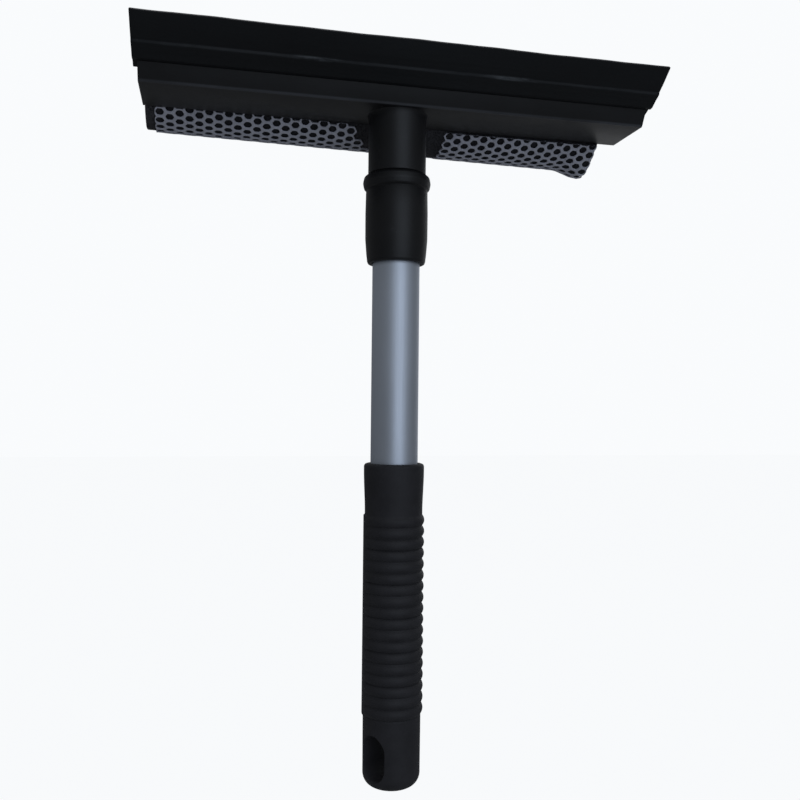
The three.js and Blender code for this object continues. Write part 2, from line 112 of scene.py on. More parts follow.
def make_world():
    """A white backdrop, and a dimmer room that lights the squeegee evenly."""
    world = bpy.data.worlds.new("studio")
    bpy.context.scene.world = world
    world.use_nodes = True
    tree = world.node_tree
    backdrop = tree.nodes["Background"]
    backdrop.inputs["Color"].default_value = BACKDROP
    backdrop.inputs["Strength"].default_value = BACKDROP_LEVEL
    room = tree.nodes.new("ShaderNodeBackground")
    room.inputs["Color"].default_value = (0.9, 0.95, 1.0, 1)
    room.inputs["Strength"].default_value = ROOM_LEVEL
    seen = tree.nodes.new("ShaderNodeLightPath")
    mix = tree.nodes.new("ShaderNodeMixShader")
    tree.links.new(seen.outputs["Is Camera Ray"], mix.inputs[0])
    tree.links.new(room.outputs[0], mix.inputs[1])
    tree.links.new(backdrop.outputs[0], mix.inputs[2])
    tree.links.new(mix.outputs[0], tree.nodes["World Output"].inputs["Surface"])


# ---- Materials ----
class Graph:
    """A material and the kinds of node that its look is made of. Positions are the piece's own, in metres."""

    def __init__(self, name, roughness=0.5, metallic=0.0, specular=0.5):
        self.material = bpy.data.materials.new(name)
        self.material.use_nodes = True
        self.nodes = self.material.node_tree.nodes
        self.links = self.material.node_tree.links
        self.shader = self.nodes["Principled BSDF"]
        self.shader.inputs["Roughness"].default_value = roughness
        self.shader.inputs["Metallic"].default_value = metallic
        self.shader.inputs["Specular IOR Level"].default_value = specular
        self.place = self.nodes.new("ShaderNodeTexCoord").outputs["Object"]

    def add(self, kind, values=None, **settings):
        node = self.nodes.new("ShaderNode" + kind)
        for key, value in settings.items():
            setattr(node, key, value)
        for key, value in (values or {}).items():
            if hasattr(value, "is_output"):
                self.links.new(value, node.inputs[key])
            else:
                node.inputs[key].default_value = value
        return node

    def set(self, socket, value):
        self.links.new(value, self.shader.inputs[socket])

    def stretched(self, scale):
        return self.add("Mapping", {"Vector": self.place, "Scale": scale}).outputs["Vector"]

    def noise(self, scale, detail=2, rough=0.5, stretch=None):
        vector = self.stretched(stretch) if stretch else self.place
        values = {"Vector": vector, "Scale": scale, "Detail": detail, "Roughness": rough}
        return self.add("TexNoise", values).outputs["Fac"]

    def cells(self, scale):
        return self.add("TexVoronoi", {"Vector": self.place, "Scale": scale}).outputs["Distance"]

    def ramp(self, factor, stops):
        node = self.add("ValToRGB", {"Fac": factor})
        ends = node.color_ramp.elements
        while len(ends) < len(stops):
            ends.new(0.5)
        for end, (at, colour) in zip(ends, stops):
            end.position = at
            end.color = (*colour, 1)
        return node.outputs["Color"]

    def range(self, value, low, high, to_low, to_high):
        values = {"Value": value, "From Min": low, "From Max": high, "To Min": to_low, "To Max": to_high}
        return self.add("MapRange", values).outputs["Result"]

    def math(self, operation, a, b):
        return self.add("Math", {0: a, 1: b}, operation=operation).outputs[0]

    def mix(self, factor, a, b):
        node = self.add("Mix", data_type="RGBA")
        for socket, value in ((0, factor), (6, a), (7, b)):
            if hasattr(value, "is_output"):
                self.links.new(value, node.inputs[socket])
            else:
                node.inputs[socket].default_value = value if socket == 0 else (*value, 1)
        return node.outputs[2]

    def near_line(self, y, z, reach):
        """1 on a line along the head, at y and z in metres, and 0 at reach from it."""
        apart = self.add("SeparateXYZ", {0: self.place}).outputs
        across = self.math("ABSOLUTE", self.math("SUBTRACT", apart["Y"], y), 0)
        above = self.math("ABSOLUTE", self.math("SUBTRACT", apart["Z"], z), 0)
        return self.range(self.math("ADD", across, above), 0.4 * reach, reach, 1, 0)

    def near_station(self, x, reach):
        """1 at x along the head, fading to 0 at reach either side."""
        along = self.add("SeparateXYZ", {0: self.place}).outputs["X"]
        return self.range(self.math("ABSOLUTE", self.math("SUBTRACT", along, x), 0), 0.3 * reach, reach, 1, 0)

    def bump(self, height, distance, strength=1.0, under=None):
        values = {"Height": height, "Distance": distance, "Strength": strength}
        node = self.add("Bump", values)
        if under is not None:
            self.links.new(under, node.inputs["Normal"])
        return node.outputs["Normal"]


# Places of marks and of painted light on the pieces, in metres: a line along the head is (y, z), and a patch on
# it is (x, reach)
RIDGE_LINE = (-0.0163, 0.3096)
STEP_LINE = (-0.02875, 0.321)
SCUFFS = [(-0.041, 0.012), (0.046, 0.014)]
BARE_END = (-0.1135, 0.0065)
BARE_BY_NECK = (0.003, 0.034)
NOTCH_LINE = (0.02, 0.304)


def moulded_black():
    """Satin black injection moulding: fine grain, faint handling marks, and a painted highlight along the front
    ridge.
    """
    g = Graph("moulded_black", specular=0.36)
    grain = g.noise(2600, 3, 0.6)
    cloud = g.noise(38, 4, 0.55)
    scuff = g.noise(60, 5, 0.7, stretch=(0.25, 3, 3))
    base = g.ramp(cloud, [(0.3, (0.0052, 0.0052, 0.006)), (0.7, (0.0088, 0.009, 0.0102))])
    marks = g.range(scuff, 0.66, 0.78, 0, 0.35)
    marked = g.mix(marks, base, (0.035, 0.037, 0.04))
    # A lighter, uneven line along the front ridge: a painted highlight on the edge.
    ridge_highlight = g.math("MULTIPLY", g.near_line(*RIDGE_LINE, 0.0014), g.range(cloud, 0.3, 0.6, 0.45, 0.95))
    g.set("Base Color", g.mix(ridge_highlight, marked, (0.05, 0.053, 0.06)))
    g.set("Roughness", g.range(g.math("ADD", cloud, g.math("MULTIPLY", grain, 0.4)), 0.4, 1.0, 0.4, 0.54))
    g.set("Normal", g.bump(grain, 0.00006, 0.55))
    return g.material


def grip_black():
    """Soft matte elastomer: a chalky bloom that lies unevenly, with fine texture."""
    g = Graph("grip_black", specular=0.3)
    grain = g.noise(1900, 4, 0.65)
    bloom = g.noise(75, 5, 0.62)
    base = g.ramp(bloom, [(0.32, (0.017, 0.0164, 0.019)), (0.72, (0.029, 0.028, 0.032))])
    dust = g.range(g.noise(420, 4, 0.7), 0.6, 0.74, 0, 0.3)
    g.set("Base Color", g.mix(dust, base, (0.042, 0.041, 0.046)))
    g.set("Roughness", g.range(bloom, 0.3, 0.75, 0.56, 0.7))
    g.set("Normal", g.bump(grain, 0.0001, 0.6))
    return g.material


def rubber_black():
    """Extruded blade rubber: fine draw lines along it, a faint bluish bloom, and chalky marks with a painted
    highlight along its step.
    """
    g = Graph("rubber_black", specular=0.26)
    lines = g.noise(900, 3, 0.6, stretch=(0.02, 1, 1))
    bloom = g.noise(26, 4, 0.6, stretch=(0.5, 1.5, 1.5))
    chalk = g.noise(300, 4, 0.7, stretch=(0.18, 1, 1))
    patch = g.noise(14, 2, 0.5)
    base = g.ramp(bloom, [(0.3, (0.0042, 0.0048, 0.0062)), (0.72, (0.0078, 0.0092, 0.0108))])
    marks = g.math("MULTIPLY", g.range(chalk, 0.63, 0.74, 0, 0.5), g.range(patch, 0.55, 0.68, 0, 1))
    # A lighter, broken line along the step's edge, strongest at two spots: partly chalky scuffs, partly a
    # painted highlight.
    step = g.near_line(*STEP_LINE, 0.0016)
    scuffs_and_highlight = g.math("MAXIMUM", *[g.near_station(*scuff) for scuff in SCUFFS])
    scuffs_and_highlight = g.math("MULTIPLY", g.range(scuffs_and_highlight, 0, 1, 0.14, 1), g.range(chalk, 0.4, 0.6, 0, 0.9))
    marked = g.mix(marks, base, (0.045, 0.05, 0.054))
    g.set("Base Color", g.mix(g.math("MULTIPLY", step, scuffs_and_highlight), marked, (0.07, 0.076, 0.082)))
    g.set("Roughness", g.range(g.math("ADD", bloom, lines), 0.7, 1.3, 0.5, 0.66))
    fine = g.bump(g.noise(3200, 2), 0.00004, 0.4)
    g.set("Normal", g.bump(lines, 0.00009, 0.5, under=fine))
    return g.material


def foam_black():
    """Open-cell foam with pores of two sizes, whose hollows are darkened as painted shade. It is darker where
    the net covers it, also painted shade, and lighter where it is bare, at one end and by the neck.
    """
    g = Graph("foam_black", specular=0.12)
    large = g.cells(1250)
    small = g.cells(2600)
    pores = g.math("ADD", large, g.math("MULTIPLY", small, 0.5))
    tone = g.noise(45, 3)
    # Under the net the foam gets a darker tone, painted shade of the net; where it is bare it keeps a lighter
    # tone.
    net_shaded = g.ramp(tone, [(0.3, (0.026, 0.026, 0.031)), (0.7, (0.034, 0.034, 0.04))])
    bare = g.ramp(tone, [(0.3, (0.066, 0.065, 0.07)), (0.7, (0.084, 0.083, 0.09))])
    by_neck = g.math("MINIMUM", g.near_station(*BARE_BY_NECK), g.near_line(*NOTCH_LINE, 0.034))
    out_of_net_shade = g.math("MAXIMUM", g.near_station(*BARE_END), by_neck)
    wall = g.mix(out_of_net_shade, net_shaded, bare)
    # Pore hollows are darkened towards near-black: painted shade in the pores.
    g.set("Base Color", g.mix(g.range(pores, 0.3, 0.85, 1, 0.15), wall, (0.004, 0.004, 0.005)))
    g.set("Roughness", g.range(pores, 0.2, 1.0, 0.98, 0.84))
    g.set("Normal", g.bump(pores, 0.0003, 0.8))
    return g.material


def net_grey():
    """Coarse nylon net: fine filaments along the strands and slightly uneven dye."""
    g = Graph("net_grey", specular=0.35)
    thread = g.noise(3400, 3, 0.6)
    dye = g.noise(90, 3, 0.6)
    base = g.ramp(dye, [(0.3, (0.44, 0.445, 0.51)), (0.7, (0.56, 0.565, 0.64))])
    g.set("Base Color", g.mix(g.range(thread, 0.45, 0.7, 0, 0.45), base, (0.29, 0.29, 0.34)))
    g.set("Roughness", g.range(thread, 0.3, 0.7, 0.55, 0.72))
    g.set("Normal", g.bump(thread, 0.00012, 0.6))
    return g.material


def aluminium():
    """Drawn and satin-anodised tube: hairlines along it, faint cloudiness and a few rubbed streaks."""
    g = Graph("aluminium", metallic=1.0, specular=0.5)
    hair = g.noise(2400, 3, 0.65, stretch=(1, 1, 0.012))
    cloud = g.noise(22, 4, 0.55, stretch=(1, 1, 0.4))
    rub = g.noise(260, 3, 0.6, stretch=(1, 1, 0.05))
    base = g.ramp(cloud, [(0.3, (0.54, 0.58, 0.65)), (0.7, (0.61, 0.65, 0.72))])
    g.set("Base Color", g.mix(g.range(rub, 0.6, 0.75, 0, 0.35), base, (0.42, 0.45, 0.51)))
    g.set("Roughness", g.range(g.math("ADD", hair, cloud), 0.7, 1.3, 0.5, 0.6))
    g.set("Normal", g.bump(hair, 0.00003, 0.5))
    return g.material


def nylon():
    """Natural nylon: off-white, with flow clouds."""
    g = Graph("nylon", specular=0.45)
    flow = g.noise(120, 4, 0.6, stretch=(1, 1, 0.4))
    g.set("Base Color", g.ramp(flow, [(0.3, (0.56, 0.54, 0.48)), (0.7, (0.68, 0.66, 0.6))]))
    g.set("Roughness", g.range(flow, 0.3, 0.7, 0.42, 0.56))
    g.set("Normal", g.bump(g.noise(1800, 2), 0.00004, 0.4))
    return g.material


def steel():
    """Zinc-plated steel, with small crystals in the plating."""
    g = Graph("steel", metallic=1.0)
    spangle = g.noise(900, 4, 0.7)
    g.set("Base Color", g.ramp(spangle, [(0.3, (0.5, 0.51, 0.53)), (0.7, (0.62, 0.63, 0.65))]))
    g.set("Roughness", g.range(spangle, 0.3, 0.7, 0.26, 0.42))
    g.set("Normal", g.bump(spangle, 0.00003, 0.5))
    return g.material


# ---- Meshes ----
def make_piece(name, points, faces, finish, body, replaced, sharp=40):
    """A piece from points in metres, which stands for one CAD node. Edges over sharp degrees stay crisp."""
    mesh = bpy.data.meshes.new(name)
    mesh.from_pydata([tuple(p) for p in points], [], [tuple(f) for f in faces])
    mesh.validate()
    bm = bmesh.new()
    bm.from_mesh(mesh)
    bmesh.ops.remove_doubles(bm, verts=bm.verts, dist=2e-6)
    bmesh.ops.recalc_face_normals(bm, faces=bm.faces)
    bm.to_mesh(mesh)
    bm.free()
    mesh.shade_smooth()
    mesh.set_sharp_from_angle(angle=math.radians(sharp))
    mesh.materials.append(MATERIAL[finish])
    obj = bpy.data.objects.new(name, mesh)
    bpy.context.scene.collection.objects.link(obj)
    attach(obj, body)
    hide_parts(replaced)
    return obj


NEARLY_STRAIGHT = math.radians(88)  # half the angle at a corner that is left as it is


def rounded(points, radii, steps=5):
    """A closed outline with its corners rounded. radii is one radius for all corners, or a list of them."""
    points = [np.array(p, float) for p in points]
    count = len(points)
    if not hasattr(radii, "__len__"):
        radii = [radii] * count
    result = []
    for i, corner in enumerate(points):
        if radii[i] <= 0:
            result.append(corner)
            continue
        before, after = points[i - 1] - corner, points[(i + 1) % count] - corner
        reach = [np.linalg.norm(before), np.linalg.norm(after)]
        before, after = before / reach[0], after / reach[1]
        half = math.acos(max(-1, min(1, float(before @ after)))) / 2
        if half > NEARLY_STRAIGHT:
            result.append(corner)
            continue
        radius = min(radii[i], 0.48 * min(reach) * math.tan(half))
        back = radius / math.tan(half)
        start, end = corner + before * back, corner + after * back
        middle = corner + (before + after) / np.linalg.norm(before + after) * radius / math.sin(half)
        first, last = start - middle, end - middle
        total = math.pi - 2 * half
        for step in range(steps + 1):
            angle = total * (step / steps)
            arm = (first * math.sin(total - angle) + last * math.sin(angle)) / math.sin(total)
            result.append(middle + arm)
    return result


def turned(profile, sides=128):
    """Points and faces of a ring about +Z, from a closed profile of [radius, height] in millimetres."""
    points, faces = [], []
    count = len(profile)
    for k in range(sides):
        angle = 2 * math.pi * k / sides
        for radius, height in profile:
            points.append((radius * math.cos(angle) * MM, radius * math.sin(angle) * MM, height * MM))
    for k in range(sides):
        a, b = k * count, (k + 1) % sides * count
        for i in range(count):
            j = (i + 1) % count
            faces.append((a + i, b + i, b + j, a + j))
    return points, faces


MATERIAL = {}
for make in (moulded_black, grip_black, rubber_black, foam_black, net_grey, aluminium, nylon, steel):
    MATERIAL[make.__name__] = make()

make_camera()
make_world()
make_floor()
make_light("key", (0.26, -1.5, 0.5), (0, 0, 0.2), (1.25, 1.5), 7.2, (0.76, 0.86, 1.0))
make_light("back_fill", (0.95, 1.25, 0.5), (0, 0, 0.2), (1.2, 1.2), 2.4, (0.95, 0.97, 1.0))
make_light("overhead", (0.1, 0.15, 1.5), (0, 0, 0.2), (1.4, 1.2), 8, (0.97, 0.98, 1.0))

# Every CAD node gets the finish of its slot; those that stay visible keep crisp edges on smooth turnings.
for part in frame["record"]["subparts"]:
    node = frame["nodes"][part["node"]]
    node.data.materials.clear()
    node.data.materials.append(MATERIAL[part["material_slot"]])
    node.data.shade_smooth()
    node.data.set_sharp_from_angle(angle=math.radians(32))


# ---- Handle ----
GRIP_SIDES = 144
GRIP_STEP = 0.45
RIB_START, RIB_END, RIB_COUNT = 32.5, 124.3, 18
RIB_ROOT, RIB_CREST = 13.2, 14.35
STRIP_DROP = 0.35  # from the ribs' crests to the smooth strip
GRIP_LENGTH = 147.9
BUTT_ROUND, BUTT_HEIGHT = 4.7, 5.5
LIP_ROUND, LIP_HEIGHT = 1.4, 1.6
SOCKET_GAP, SOCKET_LIP = 0.3, 0.7
SOCKET_MIDDLE, SOCKET_FLOOR = 90, 28.8
TUBE_RADIUS, TUBE_BORE = 11.0, 10.0
HANDLE_TURN = math.radians(-55)
SPINE_AT = math.radians(-190)  # the smooth strip's middle, from +X
SPINE_HALF = math.radians(24)
SLOT_HALF_WIDTH, SLOT_HALF_HEIGHT, SLOT_CENTRE = 6.5, 10.0, 14.0


def smooth_step(value, low, high):
    share = np.clip((value - low) / (high - low), 0, 1)
    return share * share * (3 - 2 * share)


def round_over(depth, across, along):
    """How far a surface draws in at a depth into an edge that is a quarter ellipse, across by along."""
    rise = np.sqrt(np.maximum(across**2 - (across * depth / along) ** 2, 0))
    return np.where(depth > 0, across - rise, 0)


def grip_radius(height, angle):
    """Outer radius of the grip: a plain barrel, 18 rounded ribs, and a smooth strip down one side."""
    waist = 13.3 + 0.1 * smooth_step(height, 5, RIB_START)
    waist += 0.6 * smooth_step(height, RIB_END + 1, GRIP_LENGTH - 3)
    pitch = (RIB_END - RIB_START) / RIB_COUNT
    phase = (height - RIB_START) / pitch
    inside = (phase > 0) & (phase < RIB_COUNT)
    swell = np.abs(np.sin(math.pi * phase)) ** 0.75
    rib = np.where(inside, RIB_ROOT + (RIB_CREST - RIB_ROOT) * swell, waist)
    off_strip = np.abs((angle - SPINE_AT + math.pi) % (2 * math.pi) - math.pi)
    on_ribs = smooth_step(off_strip, SPINE_HALF - 0.06, SPINE_HALF + 0.1)
    strip = np.where(inside, RIB_CREST - STRIP_DROP, waist)
    radius = strip + (rib - strip) * on_ribs
    radius = radius - round_over(BUTT_HEIGHT - height, BUTT_ROUND, BUTT_HEIGHT)
    return radius - round_over(height - (GRIP_LENGTH - LIP_HEIGHT), LIP_ROUND, LIP_HEIGHT)


def make_grip():
    """The sleeve is turned on a fine grid, then its hang slot is cut with a rounded rim."""
    lip_start = GRIP_LENGTH - LIP_HEIGHT
    butt = np.linspace(0, BUTT_HEIGHT, 14)[:-1]
    barrel = np.arange(BUTT_HEIGHT, lip_start, GRIP_STEP)
    heights = np.concatenate([butt, barrel, np.linspace(lip_start, GRIP_LENGTH, 7)])
    angles = np.linspace(0, 2 * math.pi, GRIP_SIDES, endpoint=False)
    socket = TUBE_RADIUS + SOCKET_GAP
    points, faces = [], []
    for angle in angles:
        column = list(zip(grip_radius(heights, angle), heights))
        column += [(socket + SOCKET_LIP, GRIP_LENGTH), (socket, GRIP_LENGTH - SOCKET_LIP)]
        column += [(socket, SOCKET_MIDDLE), (socket, SOCKET_FLOOR)]
        points += [(r * math.cos(angle) * MM, r * math.sin(angle) * MM, h * MM) for r, h in column]
    count = len(points) // GRIP_SIDES
    for k in range(GRIP_SIDES):
        a, b = k * count, (k + 1) % GRIP_SIDES * count
        faces += [(a + i, b + i, b + i + 1, a + i + 1) for i in range(count - 1)]
    faces.append([k * count for k in reversed(range(GRIP_SIDES))])
    faces.append([k * count + count - 1 for k in range(GRIP_SIDES)])
    grip = make_piece("grip_sleeve", points, faces, "grip_black", "handle", "grip", sharp=50)
    cut_away(grip, slot_cutter())


def skin(count, rows):
    """Faces of a closed bar whose points come in rows of count, with a flat face at each end."""
    faces = []
    for row in range(rows - 1):
        for k in range(count):
            j = (k + 1) % count
            faces.append((row * count + k, row * count + j, (row + 1) * count + j, (row + 1) * count + k))
    faces.append(list(range(count)))
    faces.append(list(reversed(range((rows - 1) * count, rows * count))))
    return faces


def slot_cutter():
    """An upright slot with round ends, right through the butt, flared where it breaks the surface."""
    outline = []
    straight = SLOT_HALF_HEIGHT - SLOT_HALF_WIDTH
    for k in range(40):
        angle = 2 * math.pi * k / 40
        lift = straight if math.sin(angle) >= 0 else -straight
        outline.append((math.cos(angle), math.sin(angle), lift))
    depths = [(-16, 1.9), (-13.2, 1.15), (-12.4, 0.45), (-11.4, 0.08), (-10, 0), (10, 0)]
    depths += [(11.4, 0.08), (12.4, 0.45), (13.2, 1.15), (16, 1.9)]
    points = []
    for depth, flare in depths:
        for across, up, lift in outline:
            radius = SLOT_HALF_WIDTH + flare
            points.append((across * radius * MM, depth * MM, (SLOT_CENTRE + lift + up * radius) * MM))
    faces = skin(len(outline), len(depths))
    turn = Matrix.Rotation(HANDLE_TURN, 4, "Z")
    return closed_mesh("slot_cutter", [turn @ Vector(p) for p in points], faces)


def closed_mesh(name, points, faces):
    """A plain solid to cut with."""
    mesh = bpy.data.meshes.new(name)
    mesh.from_pydata([tuple(p) for p in points], [], [tuple(f) for f in faces])
    bm = bmesh.new()
    bm.from_mesh(mesh)
    bmesh.ops.recalc_face_normals(bm, faces=bm.faces)
    bm.to_mesh(mesh)
    bm.free()
    obj = bpy.data.objects.new(name, mesh)
    bpy.context.scene.collection.objects.link(obj)
    return obj


def cut_away(obj, cutter, sharp=50):
    """Cuts the piece for good, and removes the cutting tool."""
    modifier = obj.modifiers.new("cut", "BOOLEAN")
    modifier.operation = "DIFFERENCE"
    modifier.solver = "EXACT"
    modifier.object = cutter
    bpy.context.view_layer.update()
    cut = bpy.data.meshes.new_from_object(obj.evaluated_get(bpy.context.evaluated_depsgraph_get()))
    obj.modifiers.clear()
    obj.data = cut
    tool = cutter.data
    bpy.data.objects.remove(cutter)
    bpy.data.meshes.remove(tool)
    cut.shade_smooth()
    cut.set_sharp_from_angle(angle=math.radians(sharp))


COLLAR_PROFILE = [
    (11.3, 240.6), (13.1, 240.6), (13.55, 241.6), (13.95, 245), (14.5, 252), (14.55, 264), (14.35, 274),
    (14.0, 274.6), (15.25, 275.4), (15.8, 277.9), (15.3, 280.4), (14.3, 281.3), (9.9, 281.3), (9.9, 279.6),
    (11.3, 279.6),
]
COLLAR_ROUNDS = [0.3, 0.6, 1.2, 6, 12, 12, 0, 0.3, 1.4, 3, 1.4, 0.5, 0.4, 0.2, 0.2]


def make_turnings():
    """The two tubes and the collar."""
    tube = [(TUBE_BORE, 31), (TUBE_RADIUS, 31), (TUBE_RADIUS, 275), (TUBE_BORE, 275)]
    points, faces = turned(rounded(tube, 0.25, steps=3))
    make_piece("outer_tube_skin", points, faces, "aluminium", "handle", "outer_tube")
    inner = [(8.6, 72), (9.5, 72), (9.5, 303.4), (8.6, 303.4)]
    points, faces = turned(rounded(inner, 0.22, steps=3))
    make_piece("inner_tube_skin", points, faces, "aluminium", "head", "inner_tube")
    points, faces = turned(rounded(COLLAR_PROFILE, COLLAR_ROUNDS, steps=6))
    make_piece("collar_ring", points, faces, "moulded_black", "handle", "collar")


# ---- Blade ----
HEAD_BOTTOM = 309.4
HEAD_MIDDLE = 0.7
BLADE_TILT = math.radians(25)
BLADE_MOUTH = (19.4, 9.9)


def from_mouth(s, t):
    """Side-view point (forward, height): s runs out of the blade's channel, and t is square to it."""
    forward = BLADE_MOUTH[0] + s * math.cos(BLADE_TILT) - t * math.sin(BLADE_TILT)
    up = BLADE_MOUTH[1] + s * math.sin(BLADE_TILT) + t * math.cos(BLADE_TILT)
    return forward, HEAD_BOTTOM + up


def wander(x, waves):
    """A slow, smooth wander along the head, from fixed waves of (length in mm, phase, size in mm)."""
    return sum(size * math.sin(2 * math.pi * x / length + phase) for length, phase, size in waves)


def extruded(section, stations):
    """Points and faces of a bar along X. section(x, inset) is its outline there, and each end is eased."""
    points = []
    for x, inset in stations:
        points += [(x * MM, -v * MM, z * MM) for v, z in section(x, inset)]
    return points, skin(len(points) // len(stations), len(stations))


def shrunk(outline, inset):
    """The outline moved inwards by inset, corner by corner."""
    if inset == 0:
        return outline
    ring = [np.array(p, float) for p in outline]
    turning = sum(a[0] * b[1] - a[1] * b[0] for a, b in zip(ring, ring[1:] + ring[:1]))
    result = []
    for i, point in enumerate(ring):
        along = ring[(i + 1) % len(ring)] - ring[i - 1]
        normal = np.array([-along[1], along[0]]) / max(np.linalg.norm(along), 1e-9)
        result.append(point + normal * inset * (1 if turning > 0 else -1))
    return result


def eased_stations(length, step, ease=0.35):
    """Places along the head and how far the outline shrinks there, which softens the two ends."""
    half = length / 2
    ends = [(half, ease), (half - 0.3 * ease, 0.3 * ease), (half - ease, 0)]
    middle = int(2 * (half - ease) / step)
    places = [(HEAD_MIDDLE - x, inset) for x, inset in ends]
    places += [(HEAD_MIDDLE - half + ease + k * 2 * (half - ease) / middle, 0) for k in range(1, middle)]
    return places + [(HEAD_MIDDLE + x, inset) for x, inset in reversed(ends)]


BLADE_LENGTH, BEAD_LENGTH = 235.6, 222
LIP_START, LIP_REACH = 8, 13.6  # the part of the section that is free to wander
BLADE_SECTION = [
    (-5.2, -1.8), (-0.3, -1.8), (-0.3, -3.1), (1.6, -3.7), (5, -3.1), (8.8, -2.8), (9.6, -1.9), (13.5, -1.2),
    (21.6, 0.9), (21.1, 2.2), (13.5, 1.3), (9.6, 1.5), (7.4, 2.9), (1.2, 3.5), (-0.3, 3.1), (-0.3, 1.8),
    (-5.2, 1.8),
]
BLADE_ROUNDS = [0, 0.2, 0.5, 1.2, 3, 0.5, 0.6, 6, 0.3, 0.3, 6, 1.5, 1.5, 1.2, 0.4, 0.2, 0]
LIP_WAVES = [(97, 0.6, 0.14), (41, 2.1, 0.07), (17, 0.9, 0.03)]


def blade_outline(x, inset):
    """The rubber's outline at x. Its lip wanders a little, as soft rubber does."""
    bent = []
    for s, t in BLADE_SECTION:
        free = max(0, (s - LIP_START) / LIP_REACH)
        bent.append(from_mouth(s + 0.5 * free * wander(x, LIP_WAVES[1:]), t + free * wander(x, LIP_WAVES)))
    return shrunk(rounded(bent, BLADE_ROUNDS, steps=4), inset)


def make_blade():
    points, faces = extruded(blade_outline, eased_stations(BLADE_LENGTH, 2.2))
    make_piece("blade_rubber", points, faces, "rubber_black", "head", "blade", sharp=55)
    bead = [(-10.1, -3.3), (-5.5, -3.3), (-5.5, 3.3), (-10.1, 3.3)]
    ring = rounded([from_mouth(s, t) for s, t in bead], 0.4)
    points, faces = extruded(lambda x, inset: shrunk(ring, inset), eased_stations(BEAD_LENGTH, 20))
    make_piece("blade_bead", points, faces, "rubber_black", "head", "blade", sharp=40)


# ---- Head body: the CAD shape with its long edges rounded ----
def make_head():
    """The CAD body with its flat faces joined up and its edges rounded."""
    source = frame["nodes"]["head_body"]
    mesh = source.data.copy()
    bm = bmesh.new()
    bm.from_mesh(mesh)
    bmesh.ops.remove_doubles(bm, verts=bm.verts, dist=4e-6)
    bmesh.ops.dissolve_limit(bm, angle_limit=math.radians(1), verts=bm.verts, edges=bm.edges)
    bm.to_mesh(mesh)
    bm.free()
    head = bpy.data.objects.new("head_shell", mesh)
    bpy.context.scene.collection.objects.link(head)
    bevel = head.modifiers.new("edges", "BEVEL")
    bevel.width = 0.00045
    bevel.segments = 3
    bevel.limit_method = "ANGLE"
    bevel.angle_limit = math.radians(28)
    bpy.context.view_layer.update()
    done = bpy.data.meshes.new_from_object(head.evaluated_get(bpy.context.evaluated_depsgraph_get()))
    head.modifiers.clear()
    head.data = done
    done.shade_smooth()
    done.set_sharp_from_angle(angle=math.radians(35))
    done.materials.clear()
    done.materials.append(MATERIAL["moulded_black"])
    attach(head, "head")
    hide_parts("head_body")


# ---- Sponge and net ----
# In side view the pad is three arcs, under, behind and over, with their centres on one upright line.
PAD_MIDDLE = -30.3
PAD_LOW = HEAD_BOTTOM - 7.4
UNDER, BACK, OVER = 23.9, 18.0, 70.0
PAD_ASKEW = math.radians(0.95)
WALL_TILT = math.radians(12)
WALL_FOOT = -13.3
PAD_TURN = (
    Matrix.Translation((0, 0, HEAD_BOTTOM * MM))
    @ Matrix.Rotation(PAD_ASKEW, 4, Vector((0, math.cos(WALL_TILT), math.sin(WALL_TILT))))
    @ Matrix.Translation((0, 0, -HEAD_BOTTOM * MM))
)
NET_FROM, NET_RUN = math.radians(-46), 19.5
FOAM_FROM, FOAM_RUN = math.radians(-44), 21.6
SPONGE_LENGTH, SPONGE_OFFSET = 222.0, -3.4
NET_LENGTH, NET_OFFSET = 217.5, -1.4
NET_THICKNESS = 0.75
NET_BITE = 0.15  # how far the net's outer face stands out past the pad's outline
FLARE = 3.2  # how far the net's right-hand end stands off, where it isn't drawn tight


def pad_arcs(start, run):
    """The pad's outline as arcs: (centre's height, radius, first angle, last angle)."""
    centre_under, centre_back = PAD_LOW + UNDER, PAD_LOW + BACK
    centre_over = PAD_LOW + 2 * BACK - OVER
    return [
        (centre_under, UNDER, start, -math.pi / 2),
        (centre_back, BACK, -math.pi / 2, -1.5 * math.pi),
        (centre_over, OVER, math.pi / 2, math.acos(run / OVER)),
    ]


def path_length(arcs):
    return sum(radius * abs(b - a) for _, radius, a, b in arcs)


def on_path(arcs, way, out):
    """The side-view point at a distance along the pad's outline, and out from it."""
    for index, (centre, radius, a, b) in enumerate(arcs):
        long = radius * abs(b - a)
        if way <= long or index == len(arcs) - 1:
            angle = a + (b - a) * way / long
            reach = radius + out
            return PAD_MIDDLE + reach * math.cos(angle), centre + reach * math.sin(angle)
        way -= long


def pad_point(x, forward, height):
    return PAD_TURN @ Vector((x * MM, -forward * MM, height * MM))


def first_way(x):
    """Where the net and the foam begin. They reach further up on the right, where the pad hangs lower."""
    return -max(0.0, float(x)) * math.tan(PAD_ASKEW)


def flare_at(x, way):
    """The net and the foam under it belly out a little at the right-hand end, below."""
    near_end = smooth_step(x, 92, 107)
    below = smooth_step(way, 2, 18) * (1 - smooth_step(way, 30, 52))
    return FLARE * float(near_end * below)


NOTCH_SIDE = 0.45  # the share of the way round that is under the pad
# The notch's left and right sides, in front and at its deepest
NOTCH_LEFT, NOTCH_RIGHT, NOTCH_DEPTH = (-25.5, -6.0), (29.5, 25.0), 38.0


def in_notch(x, forward):
    """Whether a point of the net is inside the notch that is cut for the neck."""
    depth = -forward
    share = depth / NOTCH_DEPTH
    left, right = (front + (back - front) * share for front, back in (NOTCH_LEFT, NOTCH_RIGHT))
    return 0 <= depth <= NOTCH_DEPTH and left < x < right


